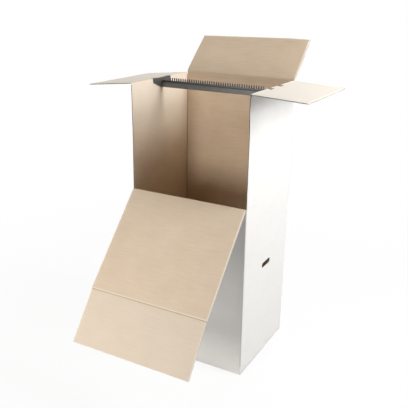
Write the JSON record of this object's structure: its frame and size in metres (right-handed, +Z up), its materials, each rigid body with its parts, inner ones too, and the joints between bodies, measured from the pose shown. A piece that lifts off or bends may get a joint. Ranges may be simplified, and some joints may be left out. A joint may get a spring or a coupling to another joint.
{
  "type": "wardrobe moving box",
  "caption": "Tall corrugated board moving box for clothes on hangers, with a fold-down front door, folding lid flaps, hand holes and a lift-out toothed hanger rail.",
  "frame": {"origin": "middle of the base, on the floor", "axes": "+Z up, -Y the front with the fold-down door, +X to the right seen from the front"},
  "size_m": [1.0914, 1.1753, 1.5342],
  "materials": {
    "board": "corrugated board, white liner outside and brown kraft liner inside, matt",
    "folded_board": "the same board where it is scored and folded",
    "rail_plastic": "dark grey moulded plastic, satin",
    "paper_tape": "brown gummed paper tape"
  },
  "bodies": {
    "box": {"back_wall": "board", "left_wall": "board", "right_wall": "board", "front_wall": "board", "back_left_fold": "folded_board", "back_right_fold": "folded_board", "front_left_fold": "folded_board", "front_right_fold": "folded_board", "glue_tab": "board", "front_bottom_flap": "board", "back_bottom_flap": "board", "left_bottom_flap": "board", "right_bottom_flap": "board", "front_bottom_fold": "folded_board", "back_bottom_fold": "folded_board", "left_bottom_fold": "folded_board", "right_bottom_fold": "folded_board", "bottom_tape": "paper_tape", "door_crease": "folded_board", "left_lid_crease": "folded_board", "right_lid_crease": "folded_board", "back_lid_crease": "folded_board", "left_hand_crease": "folded_board", "right_hand_crease": "folded_board"},
    "door": {"front_door": "board", "front_lid_crease": "folded_board"},
    "front_lid": {"front_lid": "board"},
    "left_lid": {"left_lid": "board"},
    "right_lid": {"right_lid": "board"},
    "back_lid": {"back_lid": "board"},
    "left_hand_tab": {"left_hand_tab": "board"},
    "right_hand_tab": {"right_hand_tab": "board"},
    "hanger_rail": {"rail_beam": "rail_plastic", "hanger_teeth": "rail_plastic", "left_rail_hook": "rail_plastic", "right_rail_hook": "rail_plastic"}
  },
  "joints": [
    {"name": "door_hinge", "type": "hinge", "parent": "box", "child": "door", "pos_m": [0, -0.255, 0.845], "axis": [1, 0, 0], "range_deg": [-138.1, 26.9]},
    {"name": "front_lid_hinge", "type": "hinge", "parent": "door", "child": "front_lid", "pos_m": [0, -0.5981, 0.46859], "axis": [1, 0, 0], "range_deg": [-95.4, 35]},
    {"name": "left_lid_hinge", "type": "hinge", "parent": "box", "child": "left_lid", "pos_m": [-0.296, 0, 1.35], "axis": [0, -1, 0], "range_deg": [-185.7, 39.3]},
    {"name": "right_lid_hinge", "type": "hinge", "parent": "box", "child": "right_lid", "pos_m": [0.296, 0, 1.35], "axis": [0, 1, 0], "range_deg": [-183.3, 41.7]},
    {"name": "back_lid_hinge", "type": "hinge", "parent": "box", "child": "back_lid", "pos_m": [0, 0.251, 1.3543], "axis": [-1, 0, 0], "range_deg": [-134.1, 90.9]},
    {"name": "left_hand_tab_hinge", "type": "hinge", "parent": "box", "child": "left_hand_tab", "pos_m": [-0.296, 0, 0.509], "axis": [0, -1, 0], "range_deg": [-115, 55]},
    {"name": "right_hand_tab_hinge", "type": "hinge", "parent": "box", "child": "right_hand_tab", "pos_m": [0.296, 0, 0.509], "axis": [0, 1, 0], "range_deg": [-115, 55]},
    {"name": "rail_lift", "type": "slide", "parent": "box", "child": "hanger_rail", "axis": [0, 0, 1], "range_m": [0, 0.25]}
  ]
}
